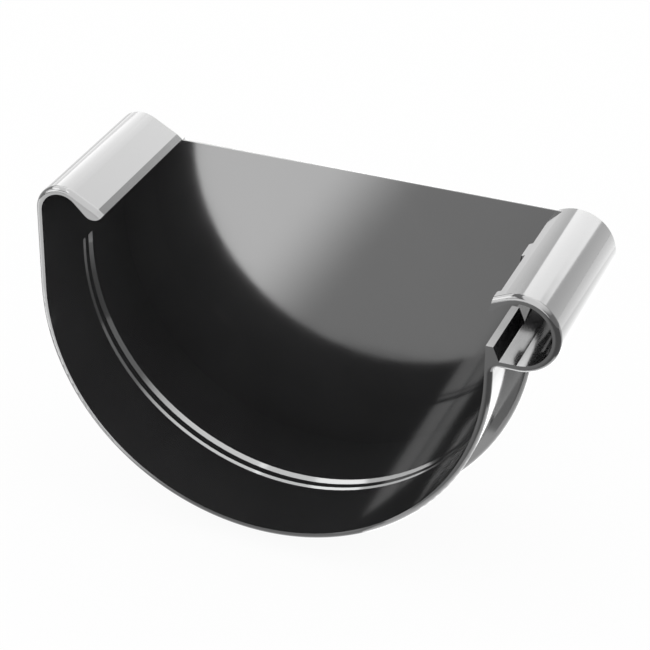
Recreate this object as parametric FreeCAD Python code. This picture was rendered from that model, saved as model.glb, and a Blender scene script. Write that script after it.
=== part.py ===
"""End cap for a half round rain gutter, moulded in one piece of glossy plastic.

Frame: X runs across the gutter, Y from the open rim into the cap, Z up.
The origin is the centre of the gutter circle, in the plane of the open rim.
All sizes are in millimetres, all angles in degrees.
"""

import math
import os

import FreeCAD
import Part

# Shell that slides over the end of the gutter
shell_radius = 63.0
wall = 2.0
depth = 51.0
end_wall = 2.0
end_wall_rise = 0.8
end_wall_round = 1.8
end_wall_meet = 110.0
rim_round = 1.5

# Rear hook that closes over the back edge of the gutter
hook_rise = 23.9
hook_radius = 5.75
inner_slope = 4.4
outer_slope = 7.8
outer_pitch = 29.5
lip_pitch = 39.0
lip_radius = 3.3
lip_crease_round = 1.5

# Ridge inside the clip that steps over the front edge of the gutter
ridge_height = 10.7
ridge_drop = 4.0
ridge_run = 1.7
ridge_length = 22.0
ramp_angle = 8.0

# Round clip for the bead along the front edge of the gutter
clip_radius = 9.0
clip_wall = 2.2
clip_floor = 4.7
clip_end_angle = 141.5
clip_end_lean = 11.0
clip_flat_angle = 113.0
clip_root_round = 2.0

# Two claws that keep the full length of the clip's end
claw_reach = 1.1
claw_slope = 1.0
front_claw_length = 3.0
mid_claw_start = 24.0
mid_claw_length = 7.0

# Two grooves inside the shell, each placed by the edge nearer to the end wall
groove_rise = 3.5
outer_groove_place = 24.1
outer_groove_width = 1.35
outer_groove_depth = 0.6
inner_groove_place = 28.4
inner_groove_width = 2.45
inner_groove_depth = 1.0

# Rib around the outside of the shell
rib_place = 23.5
rib_width = 3.0
rib_height = 3.85

# Places that follow from the sizes above
outer_radius = shell_radius + wall
end_face = depth - end_wall
hook_x = hook_radius - shell_radius
bend_reach = (hook_radius + lip_radius) * math.sqrt(0.5)
slope_run = inner_slope * math.sqrt(0.5)
lip_x = hook_x + bend_reach + slope_run
lip_z = hook_rise + bend_reach - slope_run
floor_z = ridge_height - ridge_drop
foot_x = outer_radius + ridge_run
clip_x = foot_x + clip_floor
clip_z = floor_z + clip_radius
clip_outer = clip_radius + clip_wall
rib_rise = floor_z - 0.5 * clip_wall


def at(x, z, y=0.0):
    """Point of the cross-section at depth y."""
    return FreeCAD.Vector(x, y, z)


def polar(x, z, radius, angle):
    """Point of the cross-section on a circle, the angle counted from +X."""
    turn = math.radians(angle)
    return at(x + radius * math.cos(turn), z + radius * math.sin(turn))


def arc(x, z, radius, start, end):
    """Arc of the cross-section from one angle to the other."""
    middle = polar(x, z, radius, 0.5 * (start + end))
    return Part.Arc(polar(x, z, radius, start), middle, polar(x, z, radius, end)).toShape()


def lines(*points):
    """Straight edges from point to point."""
    return [Part.makeLine(a, b) for a, b in zip(points, points[1:])]


def along_depth(edges, start, end):
    """Solid over a closed cross-section between two depths."""
    face = Part.Face(Part.Wire(Part.__sortEdges__(edges)))
    face.translate(at(0.0, 0.0, start))
    return face.extrude(at(0.0, 0.0, end - start))


def lip_crease():
    """Centre of the small rounding between the outer slope and the steeper top of the lip."""
    slope_start = polar(hook_x, hook_rise, hook_radius + wall, 90.0 - outer_pitch)
    slope_end = slope_start + polar(0.0, 0.0, outer_slope, -outer_pitch)
    return slope_end - polar(0.0, 0.0, lip_crease_round, 90.0 - outer_pitch)


def lip_tip():
    """Sharp edge of the lip, where its flat top meets the arc of its underside."""
    centre = lip_crease()
    start = polar(centre.x, centre.z, lip_crease_round, 90.0 - lip_pitch)
    ahead = polar(0.0, 0.0, 1.0, -lip_pitch)
    gap = at(lip_x, lip_z) - start
    along = gap.dot(ahead)
    across = gap.dot(gap) - along**2
    return start + ahead * (along + math.sqrt(lip_radius**2 - across))


def outer_edges(clip_angle):
    """Outside of the cross-section, from the hook's lip to an angle on the clip."""
    crease = lip_crease()
    top_start = polar(crease.x, crease.z, lip_crease_round, 90.0 - lip_pitch)
    slope_end = polar(crease.x, crease.z, lip_crease_round, 90.0 - outer_pitch)
    slope_start = polar(hook_x, hook_rise, hook_radius + wall, 90.0 - outer_pitch)
    root_x = outer_radius + clip_root_round
    root_z = clip_z - clip_outer - clip_root_round
    edges = lines(lip_tip(), top_start)
    edges.append(arc(crease.x, crease.z, lip_crease_round, 90.0 - lip_pitch, 90.0 - outer_pitch))
    edges += lines(slope_end, slope_start)
    edges.append(arc(hook_x, hook_rise, hook_radius + wall, 90.0 - outer_pitch, 180.0))
    edges += lines(at(-outer_radius, hook_rise), at(-outer_radius, 0.0))
    edges.append(arc(0.0, 0.0, outer_radius, 180.0, 360.0))
    edges += lines(at(outer_radius, 0.0), at(outer_radius, root_z))
    edges.append(arc(root_x, root_z, clip_root_round, 180.0, 90.0))
    edges += lines(at(root_x, clip_z - clip_outer), at(clip_x, clip_z - clip_outer))
    edges.append(arc(clip_x, clip_z, clip_outer, -90.0, clip_angle))
    return edges


def inner_edges():
    """Inside of the cross-section, from the hook's lip to the clip's end."""
    tip = lip_tip()
    tip_angle = math.degrees(math.atan2(tip.z - lip_z, tip.x - lip_x))
    edges = [arc(lip_x, lip_z, lip_radius, tip_angle, -135.0)]
    edges += lines(polar(lip_x, lip_z, lip_radius, -135.0), polar(hook_x, hook_rise, hook_radius, 45.0))
    edges.append(arc(hook_x, hook_rise, hook_radius, 45.0, 180.0))
    edges += lines(at(-shell_radius, hook_rise), at(-shell_radius, 0.0))
    edges.append(arc(0.0, 0.0, shell_radius, 180.0, 360.0))
    edges += lines(
        at(shell_radius, 0.0),
        at(shell_radius, ridge_height),
        at(outer_radius, ridge_height),
        at(foot_x, floor_z),
        at(clip_x, floor_z),
    )
    edges.append(arc(clip_x, clip_z, clip_radius, -90.0, clip_end_angle))
    return edges


def clip_end():
    """Corners of the clip's end: where its outside turns flat, the outer edge, the inner edge."""
    flat = polar(clip_x, clip_z, clip_outer, clip_flat_angle)
    inner = polar(clip_x, clip_z, clip_radius, clip_end_angle)
    ahead = polar(0.0, 0.0, 1.0, clip_flat_angle + 90.0)
    lean = polar(0.0, 0.0, 1.0, 90.0 - clip_end_lean)
    gap = inner - flat
    length = (gap.x * lean.z - gap.z * lean.x) / (ahead.x * lean.z - ahead.z * lean.x)
    return flat, flat + ahead * length, inner


def claw(start, end, front_slope, back_slope):
    """Stretch of the clip's end that reaches further, narrower at its tip."""
    outer, inner = clip_end()[1:]
    reach = polar(0.0, 0.0, claw_reach, clip_flat_angle + 90.0)
    solid = along_depth(lines(outer, outer + reach, inner + reach, inner, outer), start, end)
    low = inner.z - clip_radius
    outline = Part.makePolygon(
        [
            at(outer.x, low, start),
            at(inner.x, low, start),
            at(inner.x + reach.x, low, start + front_slope),
            at(inner.x + reach.x, low, end - back_slope),
            at(inner.x, low, end),
            at(outer.x, low, end),
            at(outer.x, low, start),
        ]
    )
    return solid.common(Part.Face(outline).extrude(at(0.0, 2.0 * clip_radius)))


def run_outs():
    """Blocks that carry the rim's rounding straight on past its two ends."""
    length = 2.0 * rim_round
    tip = lip_tip()
    out = polar(0.0, 0.0, 1.0, 90.0 - lip_pitch)
    lip_end = tip + polar(0.0, 0.0, length, -lip_pitch)
    lip_angle = math.degrees(math.atan2(tip.z - lip_z, tip.x - lip_x))
    lip_back = polar(lip_x, lip_z, lip_radius, lip_angle - 45.0)
    lip_edges = lines(tip, lip_end, lip_end - out * length, lip_back)
    lip_edges.append(arc(lip_x, lip_z, lip_radius, lip_angle - 45.0, lip_angle))
    outer, inner = clip_end()[1:]
    ahead = polar(0.0, 0.0, 1.0, clip_flat_angle + 90.0)
    across = polar(0.0, 0.0, clip_wall, clip_flat_angle)
    start = outer + ahead * claw_reach
    end = start + ahead * length
    clip_edges = lines(start, end, end - across, inner + ahead * claw_reach, start)
    return [along_depth(lip_edges, 0.0, length), along_depth(clip_edges, 0.0, length)]


def round_rim(band):
    """Round the outer edge of the open rim from the hook's lip to the clip's end."""
    ends = run_outs()
    blank = band.fuse(ends).removeSplitter()
    start = Part.Vertex(at(-outer_radius, 0.5 * hook_rise))
    chosen = [edge for edge in blank.Edges if edge.distToShape(start)[0] < 0.001]
    return blank.makeFillet(rim_round, chosen).cut(ends).removeSplitter()


def ridge_cut():
    """Space above the low ramp that follows the ridge towards the end wall."""
    rise = (end_face - ridge_length) * math.tan(math.radians(ramp_angle))
    top = floor_z + ridge_drop + rise
    left = shell_radius - wall
    outline = Part.makePolygon(
        [
            at(left, floor_z, ridge_length),
            at(left, floor_z + rise, end_face),
            at(left, top, end_face),
            at(left, top, ridge_length),
            at(left, floor_z, ridge_length),
        ]
    )
    return Part.Face(outline).extrude(at(foot_x - left, 0.0))


def around_shell(edges, rise):
    """Solid over a section that follows the half round shell and runs straight up at both ends."""
    axis = at(0.0, 0.0, 1.0)
    left = Part.Face(Part.Wire(Part.__sortEdges__(edges)))
    right = left.copy()
    right.rotate(at(0.0, 0.0), axis, 180.0)
    bend = left.revolve(at(0.0, 0.0), axis, -180.0)
    return bend.fuse([left.extrude(at(0.0, rise)), right.extrude(at(0.0, rise))])


def groove(back, width, deep):
    """Cutter for a groove whose wall towards the end wall slopes by 45 degrees."""
    front = back - width
    inside = wall - shell_radius
    section = lines(
        at(inside, 0.0, back),
        at(-shell_radius, 0.0, back),
        at(-shell_radius - deep, 0.0, back - deep),
        at(-shell_radius, 0.0, front),
        at(inside, 0.0, front),
        at(inside, 0.0, back),
    )
    return around_shell(section, groove_rise)


def rib():
    """Stiffening rib around the shell with a fully rounded edge, up to the clip's floor."""
    inside = 0.5 * wall - outer_radius
    edge = 0.5 * rib_width - outer_radius - rib_height
    top = at(-outer_radius - rib_height, 0.0, rib_place + 0.5 * rib_width)
    front = at(edge, 0.0, rib_place)
    back = at(edge, 0.0, rib_place + rib_width)
    section = lines(back, at(inside, 0.0, rib_place + rib_width), at(inside, 0.0, rib_place), front)
    section.append(Part.Arc(front, top, back).toShape())
    return around_shell(section, rib_rise)


def end_plate():
    """Flat end wall over the whole outline, its top edge rounded towards the outside."""
    tip = lip_tip()
    left = tip + at(end_wall_rise, end_wall_rise)
    right = polar(clip_x, clip_z, clip_outer, end_wall_meet)
    plate = along_depth(outer_edges(end_wall_meet) + lines(right, left, tip), end_face, depth)
    back = at(0.0, 0.0, depth)
    low = at(0.0, -end_wall_round, depth)
    front = at(0.0, 0.0, depth - end_wall_round)
    swing = end_wall_round * math.sqrt(0.5)
    middle = at(0.0, swing - end_wall_round, depth - end_wall_round + swing)
    corner = lines(front, back, low) + [Part.Arc(low, middle, front).toShape()]
    cutter = Part.Face(Part.Wire(Part.__sortEdges__(corner)))
    cutter.translate(left)
    return plate.cut(cutter.extrude(right - left))


def end_cap():
    """The whole moulding."""
    outline = outer_edges(clip_flat_angle) + lines(*clip_end()) + inner_edges()
    band = along_depth(outline, 0.0, depth)
    front_claw = claw(0.0, front_claw_length + claw_slope, 0.0, claw_slope)
    mid_claw = claw(mid_claw_start, mid_claw_start + mid_claw_length, claw_slope, claw_slope)
    band = band.fuse([front_claw, mid_claw]).removeSplitter()
    band = round_rim(band)
    outer_groove = groove(outer_groove_place, outer_groove_width, outer_groove_depth)
    inner_groove = groove(inner_groove_place, inner_groove_width, inner_groove_depth)
    band = band.cut([ridge_cut(), outer_groove, inner_groove])
    return band.fuse([rib(), end_plate()]).removeSplitter()


os.makedirs("parts", exist_ok=True)
end_cap().exportStep("parts/end_cap.step")
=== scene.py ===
import math

import bpy
from mathutils import Matrix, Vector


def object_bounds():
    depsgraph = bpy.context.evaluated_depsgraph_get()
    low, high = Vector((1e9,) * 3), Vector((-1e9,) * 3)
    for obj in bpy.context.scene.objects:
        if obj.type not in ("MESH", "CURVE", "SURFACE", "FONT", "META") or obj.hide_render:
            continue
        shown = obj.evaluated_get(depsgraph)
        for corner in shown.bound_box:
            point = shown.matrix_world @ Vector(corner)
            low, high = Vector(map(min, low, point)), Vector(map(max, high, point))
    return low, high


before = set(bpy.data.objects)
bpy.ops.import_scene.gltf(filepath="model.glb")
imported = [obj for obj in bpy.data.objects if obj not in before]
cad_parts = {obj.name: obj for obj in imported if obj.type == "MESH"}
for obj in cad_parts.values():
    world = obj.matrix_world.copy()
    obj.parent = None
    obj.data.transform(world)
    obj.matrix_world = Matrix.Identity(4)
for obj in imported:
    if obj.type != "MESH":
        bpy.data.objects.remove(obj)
cad_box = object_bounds()

# End cap: one injection moulding in black gloss plastic, shell, hook, clip, rib and
# end wall in one, taken from a polished mould so that the skin is mirror smooth.
# It slides over the end of a half round gutter and needs no fixing of its own.
end_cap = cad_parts["end_cap"]
black_plastic = bpy.data.materials.new("black_plastic")
black_plastic.use_nodes = True
nodes = black_plastic.node_tree.nodes
links = black_plastic.node_tree.links
skin = nodes["Principled BSDF"]
skin.inputs["IOR"].default_value = 1.6
skin.inputs["Coat Weight"].default_value = 1.0
skin.inputs["Coat IOR"].default_value = 1.5
skin.inputs["Coat Roughness"].default_value = 0.095
place = nodes.new("ShaderNodeTexCoord")

# Pigment: carbon black that the flow of the melt has spread a little unevenly.
flow = nodes.new("ShaderNodeTexNoise")
flow.inputs["Scale"].default_value = 45.0
flow.inputs["Detail"].default_value = 3.0
flow.inputs["Distortion"].default_value = 0.6
links.new(place.outputs["Object"], flow.inputs["Vector"])
pigment = nodes.new("ShaderNodeValToRGB")
pigment.color_ramp.elements[0].position = 0.3
pigment.color_ramp.elements[0].color = (0.0235, 0.0235, 0.024, 1.0)
pigment.color_ramp.elements[1].position = 0.7
pigment.color_ramp.elements[1].color = (0.0285, 0.0285, 0.0292, 1.0)
links.new(flow.outputs["Fac"], pigment.inputs["Fac"])
links.new(pigment.outputs["Color"], skin.inputs["Base Color"])

# Polish: patches where the mould was rubbed a little less bright.
rub = nodes.new("ShaderNodeTexNoise")
rub.inputs["Scale"].default_value = 160.0
rub.inputs["Detail"].default_value = 4.0
links.new(place.outputs["Object"], rub.inputs["Vector"])
polish = nodes.new("ShaderNodeMapRange")
polish.inputs["From Min"].default_value = 0.3
polish.inputs["From Max"].default_value = 0.7
polish.inputs["To Min"].default_value = 0.085
polish.inputs["To Max"].default_value = 0.115
links.new(rub.outputs["Fac"], polish.inputs["Value"])
links.new(polish.outputs[0], skin.inputs["Roughness"])

# Waviness: the shallow swell that shrinking leaves on every moulded face.
swell = nodes.new("ShaderNodeTexNoise")
swell.inputs["Scale"].default_value = 120.0
swell.inputs["Detail"].default_value = 1.0
links.new(place.outputs["Object"], swell.inputs["Vector"])
waves = nodes.new("ShaderNodeBump")
waves.inputs["Strength"].default_value = 1.0
waves.inputs["Distance"].default_value = 0.000004
links.new(swell.outputs["Fac"], waves.inputs["Height"])
links.new(waves.outputs["Normal"], skin.inputs["Normal"])
links.new(waves.outputs["Normal"], skin.inputs["Coat Normal"])
end_cap.data.materials.clear()
end_cap.data.materials.append(black_plastic)

# Floor: a pale sweep just under the cap, white to the eye, that keeps a soft shadow.
# In the cap's first reflections it glows as well, less so to the right of the cap.
floor_size = 8.0
floor_gap = 0.0005
glow_share = 0.94
bpy.ops.object.select_all(action="DESELECT")
bpy.ops.mesh.primitive_plane_add(size=floor_size, location=(0.0, 0.0, cad_box[0][2] - floor_gap))
floor = bpy.context.object
floor.name = "floor"
white = bpy.data.materials.new("white_sweep")
white.use_nodes = True
nodes = white.node_tree.nodes
links = white.node_tree.links
nodes.clear()
matt = nodes.new("ShaderNodeBsdfDiffuse")
matt.inputs["Color"].default_value = (0.95, 0.95, 0.95, 1.0)
glow = nodes.new("ShaderNodeEmission")
path = nodes.new("ShaderNodeLightPath")
seen = nodes.new("ShaderNodeMath")
seen.operation = "MAXIMUM"
links.new(path.outputs["Is Camera Ray"], seen.inputs[0])
links.new(path.outputs["Is Glossy Ray"], seen.inputs[1])
share = nodes.new("ShaderNodeMath")
share.operation = "MULTIPLY"
links.new(seen.outputs[0], share.inputs[0])
share.inputs[1].default_value = glow_share

# A mesh is met at depth 1 in a first reflection and at 2 in a second.
first = nodes.new("ShaderNodeMath")
first.operation = "LESS_THAN"
first.inputs[1].default_value = 1.5
links.new(path.outputs["Ray Depth"], first.inputs[0])
place = nodes.new("ShaderNodeTexCoord")
axes = nodes.new("ShaderNodeSeparateXYZ")
links.new(place.outputs["Object"], axes.inputs[0])
fall = nodes.new("ShaderNodeMapRange")
fall.interpolation_type = "SMOOTHSTEP"
fall.inputs["From Min"].default_value = 0.03
fall.inputs["From Max"].default_value = 0.11
fall.inputs["To Min"].default_value = 1.0
fall.inputs["To Max"].default_value = 0.3
links.new(axes.outputs["X"], fall.inputs["Value"])
mirrored = nodes.new("ShaderNodeMath")
mirrored.operation = "MULTIPLY"
links.new(first.outputs[0], mirrored.inputs[0])
links.new(fall.outputs[0], mirrored.inputs[1])
bright = nodes.new("ShaderNodeMath")
bright.operation = "MAXIMUM"
links.new(path.outputs["Is Camera Ray"], bright.inputs[0])
links.new(mirrored.outputs[0], bright.inputs[1])
links.new(bright.outputs[0], glow.inputs["Strength"])
blend = nodes.new("ShaderNodeMixShader")
links.new(share.outputs[0], blend.inputs[0])
links.new(matt.outputs[0], blend.inputs[1])
links.new(glow.outputs[0], blend.inputs[2])
output = nodes.new("ShaderNodeOutputMaterial")
links.new(blend.outputs[0], output.inputs["Surface"])
floor.data.materials.append(white)

# World: even white light from all around, which lights the pigment at a plain level.
# It is white to the eye and in first reflections, and dark in later ones; lamps and
# world are met at depth 2 in a first reflection and at 3 in a second.
world = bpy.data.worlds.new("studio")
bpy.context.scene.world = world
world.use_nodes = True
nodes = world.node_tree.nodes
links = world.node_tree.links
sky = nodes["Background"]
sky.inputs["Color"].default_value = (1.0, 1.0, 1.0, 1.0)
path = nodes.new("ShaderNodeLightPath")
first = nodes.new("ShaderNodeMath")
first.operation = "LESS_THAN"
first.inputs[1].default_value = 2.5
links.new(path.outputs["Ray Depth"], first.inputs[0])
level = nodes.new("ShaderNodeMix")
level.inputs["A"].default_value = 1.0
links.new(path.outputs["Is Glossy Ray"], level.inputs["Factor"])
links.new(first.outputs[0], level.inputs["B"])
links.new(level.outputs[0], sky.inputs["Strength"])


# Studio lights: panels that show only in the cap's gloss and leave its pigment as it
# is. Each has its share of light in first reflections and in those that come again.
def ramp(tree, value, start, end, to=(0.0, 1.0), smooth=True):
    node = tree.nodes.new("ShaderNodeMapRange")
    node.interpolation_type = "SMOOTHSTEP" if smooth else "LINEAR"
    node.inputs["From Min"].default_value = start
    node.inputs["From Max"].default_value = end
    node.inputs["To Min"].default_value = to[0]
    node.inputs["To Max"].default_value = to[1]
    tree.links.new(value, node.inputs["Value"])
    return node.outputs[0]


def combine(tree, operation, one, other):
    node = tree.nodes.new("ShaderNodeMath")
    node.operation = operation
    tree.links.new(one, node.inputs[0])
    tree.links.new(other, node.inputs[1])
    return node.outputs[0]


def along_x(tree, vector):
    axes = tree.nodes.new("ShaderNodeSeparateXYZ")
    tree.links.new(vector, axes.inputs[0])
    return axes.outputs["X"]


def panel(name, place, size, facing, radiance, first=1.0, again=1.0):
    light = bpy.data.lights.new(name, "AREA")
    light.shape = "RECTANGLE"
    light.size = size[0]
    light.size_y = size[1]
    light.energy = radiance * math.pi * size[0] * size[1]
    lamp = bpy.data.objects.new(name, light)
    bpy.context.scene.collection.objects.link(lamp)
    angle, axis = {
        "down": (0.0, "X"),
        "back": (90.0, "X"),
        "up": (180.0, "X"),
        "front": (-90.0, "X"),
        "right": (-90.0, "Y"),
    }[facing]
    lamp.matrix_world = Matrix.Translation(place) @ Matrix.Rotation(math.radians(angle), 4, axis)
    lamp.visible_diffuse = False
    light.use_nodes = True
    tree = light.node_tree
    path = tree.nodes.new("ShaderNodeLightPath")
    share = ramp(tree, path.outputs["Ray Depth"], 2.0, 3.0, to=(first, again), smooth=False)
    tree.links.new(share, tree.nodes["Emission"].inputs["Strength"])
    return light


def wall_panel(name, left, right, low, high, depth, radiance):
    place = (0.5 * (left + right), depth, 0.5 * (low + high))
    return panel(name, place, (right - left, high - low), "front", radiance)


def table_panel(name, left, right, front, back, radiance, lift=0.002, again=1.0):
    place = (0.5 * (left + right), 0.5 * (front + back), cad_box[0][2] + lift)
    return panel(name, place, (right - left, back - front), "up", radiance, again=again)


# Back wall and table, mirrored by the hook, the clip and the outside of the shell.
wall_panel("back_wall", left=-2.6, right=3.9, low=-0.066, high=3.2, depth=3.0, radiance=0.85)
table_panel("table_near", left=-0.15, right=3.6, front=0.06, back=0.25, radiance=1.35)
table_panel("table_far", left=-0.15, right=3.6, front=0.25, back=2.95, radiance=1.78)
table_panel(
    "table_front", left=-0.12, right=0.025, front=-0.25, back=-0.010, radiance=0.34, again=0.0
)
table_panel("table_under", left=0.03, right=0.13, front=-0.03, back=0.055, radiance=1.5)

# Panels above, in front and to the left, mirrored by the rounded front edges and the
# grooves. The three with no share in first reflections light what mirrors a mirror:
# the lower right of the shell's inside, the face of the rib and the wall by the clip.
panel("overhead_hook", (-0.2125, -0.05, 0.25), (0.275, 0.5), "down", radiance=4.4, again=0.0)
panel("overhead_groove", (-0.06, -0.2, 0.25), (0.03, 0.2), "down", radiance=4.4, again=0.0)
panel("front", (-1.235, -2.2, 0.57), (4.33, 1.26), "back", radiance=4.7, again=0.0)
panel("front_low", (-1.235, -2.19, 0.12), (4.33, 0.36), "back", radiance=2.3, first=0.0)
panel("front_rib", (0.068, -0.004, -0.02), (0.036, 0.052), "back", radiance=2.0, first=0.0)
panel("front_clip", (0.0487, 0.02, 0.031), (0.018, 0.011), "back", radiance=4.5, first=0.0)
panel("left", (-0.5, -0.4, 0.45), (0.7, 0.56), "right", radiance=3.0, again=0.0)

# Overhead softbox, fading away to the right.
overhead = panel("overhead", (1.005, -0.5, 1.2), (2.39, 3.4), "down", radiance=4.7, again=0.0)
tree = overhead.node_tree
spot = tree.nodes.new("ShaderNodeNewGeometry")
across = along_x(tree, spot.outputs["Position"])
fade = ramp(tree, across, 0.75, 2.2, to=(1.0, 0.0), smooth=False)
tree.links.new(fade, tree.nodes["Emission"].inputs["Color"])

# Softbox before the back wall, weaker to the left, with two corners flagged off: each
# flag ends at a slanting edge and at an upright one between dark and clear.
flags = [
    {"slope": (-0.828, -0.560, 0.0), "edge": -0.592, "dark": 0.424, "clear": 0.444},
    {"slope": (-0.728, 0.686, 0.0), "edge": -0.282, "dark": 0.873, "clear": 0.857},
]
edge_blur = 0.008
softbox = wall_panel(
    "softbox", left=-2.30, right=1.40, low=0.85, high=2.82, depth=2.97, radiance=2.45
)
tree = softbox.node_tree
spot = tree.nodes.new("ShaderNodeNewGeometry")
across = along_x(tree, spot.outputs["Parametric"])
lit = ramp(tree, across, 0.0, 0.527, to=(0.6, 1.0), smooth=False)
for flag in flags:
    slant = tree.nodes.new("ShaderNodeVectorMath")
    slant.operation = "DOT_PRODUCT"
    slant.inputs[1].default_value = flag["slope"]
    tree.links.new(spot.outputs["Parametric"], slant.inputs[0])
    edge = flag["edge"]
    above = ramp(tree, slant.outputs["Value"], edge - edge_blur, edge + edge_blur)
    beside = ramp(tree, across, flag["dark"], flag["clear"])
    lit = combine(tree, "MULTIPLY", lit, combine(tree, "MAXIMUM", above, beside))
tree.links.new(lit, tree.nodes["Emission"].inputs["Color"])

# Table to the left of the cap, mirrored by the end wall, fading towards the middle.
strip = table_panel(
    "table_left",
    left=-0.50,
    right=-0.028,
    front=-2.2,
    back=-0.010,
    radiance=2.92,
    lift=0.003,
    again=0.6,
)
tree = strip.node_tree
spot = tree.nodes.new("ShaderNodeNewGeometry")
fade = ramp(tree, along_x(tree, spot.outputs["Parametric"]), 1.0, 0.92)
tree.links.new(fade, tree.nodes["Emission"].inputs["Color"])

# Camera: a long lens above and to the right of the open rim, half a pixel off centre.
half_pixel = 0.5 / 650
lens = bpy.data.cameras.new("camera")
lens.sensor_width = 36.0
lens.lens = 129.05
lens.shift_x = -half_pixel
lens.shift_y = half_pixel
lens.clip_start = 0.01
camera = bpy.data.objects.new("camera", lens)
bpy.context.scene.collection.objects.link(camera)
turn = Matrix.Rotation(math.radians(21.353), 4, "Z")
tilt = Matrix.Rotation(math.radians(90.0 - 30.669), 4, "X")
roll = Matrix.Rotation(math.radians(0.669), 4, "Z")
camera.matrix_world = Matrix.Translation((0.20977, -0.48742, 0.31704)) @ turn @ tilt @ roll
bpy.context.scene.camera = camera
bpy.context.scene.view_settings.view_transform = "Standard"
